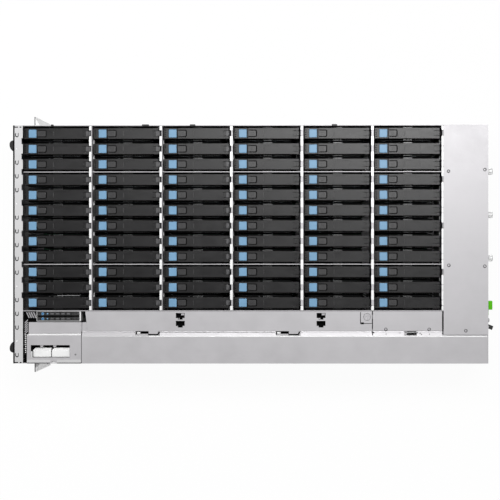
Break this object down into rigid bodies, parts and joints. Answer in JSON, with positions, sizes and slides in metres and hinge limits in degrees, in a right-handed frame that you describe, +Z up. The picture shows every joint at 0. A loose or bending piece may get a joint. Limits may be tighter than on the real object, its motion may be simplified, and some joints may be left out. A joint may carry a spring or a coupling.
{
  "type": "rackmount storage server chassis",
  "caption": "Four-unit rackmount storage server, top-loading drive field with lever carriers, side electronics channel, slide-out rear fans and power supplies, rack ears and front handles.",
  "frame": {"origin": "middle of the underside of the base", "axes": "+X from the front panel to the rear panel, +Y to the left side as seen from the front, +Z up"},
  "size_m": [0.9215, 0.4826, 0.175],
  "materials": {
    "plated_steel": "zinc-plated sheet, satin",
    "bare_aluminium": "plain",
    "drive_casting": "cast, dull",
    "carrier_plastic": "dark grey, fine grain",
    "fan_housing": "dark grey",
    "black_plastic": "black",
    "blue_plastic": "light blue, semi-gloss",
    "white_plastic": "white",
    "green_plastic": "bright green, semi-gloss",
    "circuit_board": "green solder mask"
  },
  "bodies": {
    "chassis": {"base_pan": "plated_steel", "channel_rear_lid": "plated_steel", "channel_wall": "plated_steel", "drive_backplanes": "circuit_board", "drive_partitions": "plated_steel", "front_corner_cover": "plated_steel", "front_handles": "black_plastic", "front_panel": "plated_steel", "heat_sinks": "bare_aluminium", "mainboard": "circuit_board", "rack_ear_left": "plated_steel", "rack_ear_right": "plated_steel", "rear_cover": "plated_steel", "rear_panel": "plated_steel", "rear_port_module": "bare_aluminium", "row_dividers": "plated_steel", "service_blocks": "white_plastic", "side_duct_cover": "plated_steel", "ssd_cage": "plated_steel"},
    "carriers_1": {"carriers_row_1": "carrier_plastic", "drives_row_1": "drive_casting"},
    "levers_1": {"levers_row_1": "carrier_plastic"},
    "buttons_1": {"releases_row_1": "blue_plastic"},
    "carriers_2": {"carriers_row_2": "carrier_plastic", "drives_row_2": "drive_casting"},
    "levers_2": {"levers_row_2": "carrier_plastic"},
    "buttons_2": {"releases_row_2": "blue_plastic"},
    "carriers_3": {"carriers_row_3": "carrier_plastic", "drives_row_3": "drive_casting"},
    "levers_3": {"levers_row_3": "carrier_plastic"},
    "buttons_3": {"releases_row_3": "blue_plastic"},
    "carriers_4": {"carriers_row_4": "carrier_plastic", "drives_row_4": "drive_casting"},
    "levers_4": {"levers_row_4": "carrier_plastic"},
    "buttons_4": {"releases_row_4": "blue_plastic"},
    "carriers_5": {"carriers_row_5": "carrier_plastic", "drives_row_5": "drive_casting"},
    "levers_5": {"levers_row_5": "carrier_plastic"},
    "buttons_5": {"releases_row_5": "blue_plastic"},
    "carriers_6": {"carriers_row_6": "carrier_plastic", "drives_row_6": "drive_casting"},
    "levers_6": {"levers_row_6": "carrier_plastic"},
    "buttons_6": {"releases_row_6": "blue_plastic"},
    "sled_1": {"ssd_sled_1": "carrier_plastic"},
    "sled_button_1": {"ssd_release_1": "blue_plastic"},
    "supply_1": {"power_supply_1": "bare_aluminium"},
    "supply_latch_1": {"power_latch_1": "green_plastic"},
    "sled_2": {"ssd_sled_2": "carrier_plastic"},
    "sled_button_2": {"ssd_release_2": "blue_plastic"},
    "supply_2": {"power_supply_2": "bare_aluminium"},
    "supply_latch_2": {"power_latch_2": "green_plastic"},
    "fan_1": {"fan_module_1": "fan_housing"},
    "rotor_1": {"fan_rotor_1": "black_plastic"},
    "fan_2": {"fan_module_2": "fan_housing"},
    "rotor_2": {"fan_rotor_2": "black_plastic"},
    "fan_3": {"fan_module_3": "fan_housing"},
    "rotor_3": {"fan_rotor_3": "black_plastic"},
    "lid": {"channel_lid": "plated_steel"},
    "lock": {"lid_lock": "plated_steel"},
    "power": {"power_button": "black_plastic"}
  },
  "joints": [
    {"name": "row_1_lift", "type": "slide", "parent": "chassis", "child": "carriers_1", "axis": [0, 0, 1], "range_m": [0, 0.165]},
    {"name": "row_1_levers", "type": "hinge", "parent": "carriers_1", "child": "levers_1", "pos_m": [-0.3125, 0.05, 0.166], "axis": [0, 1, 0], "range_deg": [0, 70]},
    {"name": "row_1_buttons", "type": "slide", "parent": "carriers_1", "child": "buttons_1", "axis": [0, 0, -1], "range_m": [0, 0.002], "stiffness_N_per_m": 1500, "springref_m": -0.001},
    {"name": "row_2_lift", "type": "slide", "parent": "chassis", "child": "carriers_2", "axis": [0, 0, 1], "range_m": [0, 0.165]},
    {"name": "row_2_levers", "type": "hinge", "parent": "carriers_2", "child": "levers_2", "pos_m": [-0.1807, 0.05, 0.166], "axis": [0, 1, 0], "range_deg": [0, 70]},
    {"name": "row_2_buttons", "type": "slide", "parent": "carriers_2", "child": "buttons_2", "axis": [0, 0, -1], "range_m": [0, 0.002], "stiffness_N_per_m": 1500, "springref_m": -0.001},
    {"name": "row_3_lift", "type": "slide", "parent": "chassis", "child": "carriers_3", "axis": [0, 0, 1], "range_m": [0, 0.165]},
    {"name": "row_3_levers", "type": "hinge", "parent": "carriers_3", "child": "levers_3", "pos_m": [-0.0489, 0.05, 0.166], "axis": [0, 1, 0], "range_deg": [0, 70]},
    {"name": "row_3_buttons", "type": "slide", "parent": "carriers_3", "child": "buttons_3", "axis": [0, 0, -1], "range_m": [0, 0.002], "stiffness_N_per_m": 1500, "springref_m": -0.001},
    {"name": "row_4_lift", "type": "slide", "parent": "chassis", "child": "carriers_4", "axis": [0, 0, 1], "range_m": [0, 0.165]},
    {"name": "row_4_levers", "type": "hinge", "parent": "carriers_4", "child": "levers_4", "pos_m": [0.0829, 0.05, 0.166], "axis": [0, 1, 0], "range_deg": [0, 70]},
    {"name": "row_4_buttons", "type": "slide", "parent": "carriers_4", "child": "buttons_4", "axis": [0, 0, -1], "range_m": [0, 0.002], "stiffness_N_per_m": 1500, "springref_m": -0.001},
    {"name": "row_5_lift", "type": "slide", "parent": "chassis", "child": "carriers_5", "axis": [0, 0, 1], "range_m": [0, 0.165]},
    {"name": "row_5_levers", "type": "hinge", "parent": "carriers_5", "child": "levers_5", "pos_m": [0.2147, 0.05, 0.166], "axis": [0, 1, 0], "range_deg": [0, 70]},
    {"name": "row_5_buttons", "type": "slide", "parent": "carriers_5", "child": "buttons_5", "axis": [0, 0, -1], "range_m": [0, 0.002], "stiffness_N_per_m": 1500, "springref_m": -0.001},
    {"name": "row_6_lift", "type": "slide", "parent": "chassis", "child": "carriers_6", "axis": [0, 0, 1], "range_m": [0, 0.165]},
    {"name": "row_6_levers", "type": "hinge", "parent": "carriers_6", "child": "levers_6", "pos_m": [0.3465, 0.05, 0.166], "axis": [0, 1, 0], "range_deg": [0, 70]},
    {"name": "row_6_buttons", "type": "slide", "parent": "carriers_6", "child": "buttons_6", "axis": [0, 0, -1], "range_m": [0, 0.002], "stiffness_N_per_m": 1500, "springref_m": -0.001},
    {"name": "sled_1_lift", "type": "slide", "parent": "chassis", "child": "sled_1", "axis": [0, 0, 1], "range_m": [0, 0.11]},
    {"name": "sled_1_button", "type": "slide", "parent": "sled_1", "child": "sled_button_1", "axis": [0, 0, -1], "range_m": [0, 0.0015], "stiffness_N_per_m": 300, "springref_m": -0.001},
    {"name": "supply_1_slide", "type": "slide", "parent": "chassis", "child": "supply_1", "axis": [1, 0, 0], "range_m": [0, 0.19]},
    {"name": "supply_1_latch", "type": "slide", "parent": "supply_1", "child": "supply_latch_1", "axis": [0, -1, 0], "range_m": [0, 0.003], "stiffness_N_per_m": 400, "springref_m": -0.001},
    {"name": "sled_2_lift", "type": "slide", "parent": "chassis", "child": "sled_2", "axis": [0, 0, 1], "range_m": [0, 0.11]},
    {"name": "sled_2_button", "type": "slide", "parent": "sled_2", "child": "sled_button_2", "axis": [0, 0, -1], "range_m": [0, 0.0015], "stiffness_N_per_m": 300, "springref_m": -0.001},
    {"name": "supply_2_slide", "type": "slide", "parent": "chassis", "child": "supply_2", "axis": [1, 0, 0], "range_m": [0, 0.19]},
    {"name": "supply_2_latch", "type": "slide", "parent": "supply_2", "child": "supply_latch_2", "axis": [0, -1, 0], "range_m": [0, 0.003], "stiffness_N_per_m": 400, "springref_m": -0.001},
    {"name": "fan_1_slide", "type": "slide", "parent": "chassis", "child": "fan_1", "axis": [1, 0, 0], "range_m": [0, 0.08]},
    {"name": "fan_1_spin", "type": "hinge", "parent": "fan_1", "child": "rotor_1", "pos_m": [0.408, 0.172, 0.122], "axis": [1, 0, 0], "continuous": true},
    {"name": "fan_2_slide", "type": "slide", "parent": "chassis", "child": "fan_2", "axis": [1, 0, 0], "range_m": [0, 0.08]},
    {"name": "fan_2_spin", "type": "hinge", "parent": "fan_2", "child": "rotor_2", "pos_m": [0.408, 0.09033, 0.122], "axis": [1, 0, 0], "continuous": true},
    {"name": "fan_3_slide", "type": "slide", "parent": "chassis", "child": "fan_3", "axis": [1, 0, 0], "range_m": [0, 0.08]},
    {"name": "fan_3_spin", "type": "hinge", "parent": "fan_3", "child": "rotor_3", "pos_m": [0.408, 0.00866, 0.122], "axis": [1, 0, 0], "continuous": true},
    {"name": "lid_slide", "type": "slide", "parent": "chassis", "child": "lid", "axis": [-1, 0, 0], "range_m": [0, 0.006]},
    {"name": "lock_turn", "type": "hinge", "parent": "lid", "child": "lock", "pos_m": [0.2184, -0.1363, 0.172], "axis": [0, 0, -1], "range_deg": [0, 90]},
    {"name": "power_press", "type": "slide", "parent": "chassis", "child": "power", "axis": [1, 0, 0], "range_m": [0, 0.0015], "stiffness_N_per_m": 500, "springref_m": -0.001}
  ]
}
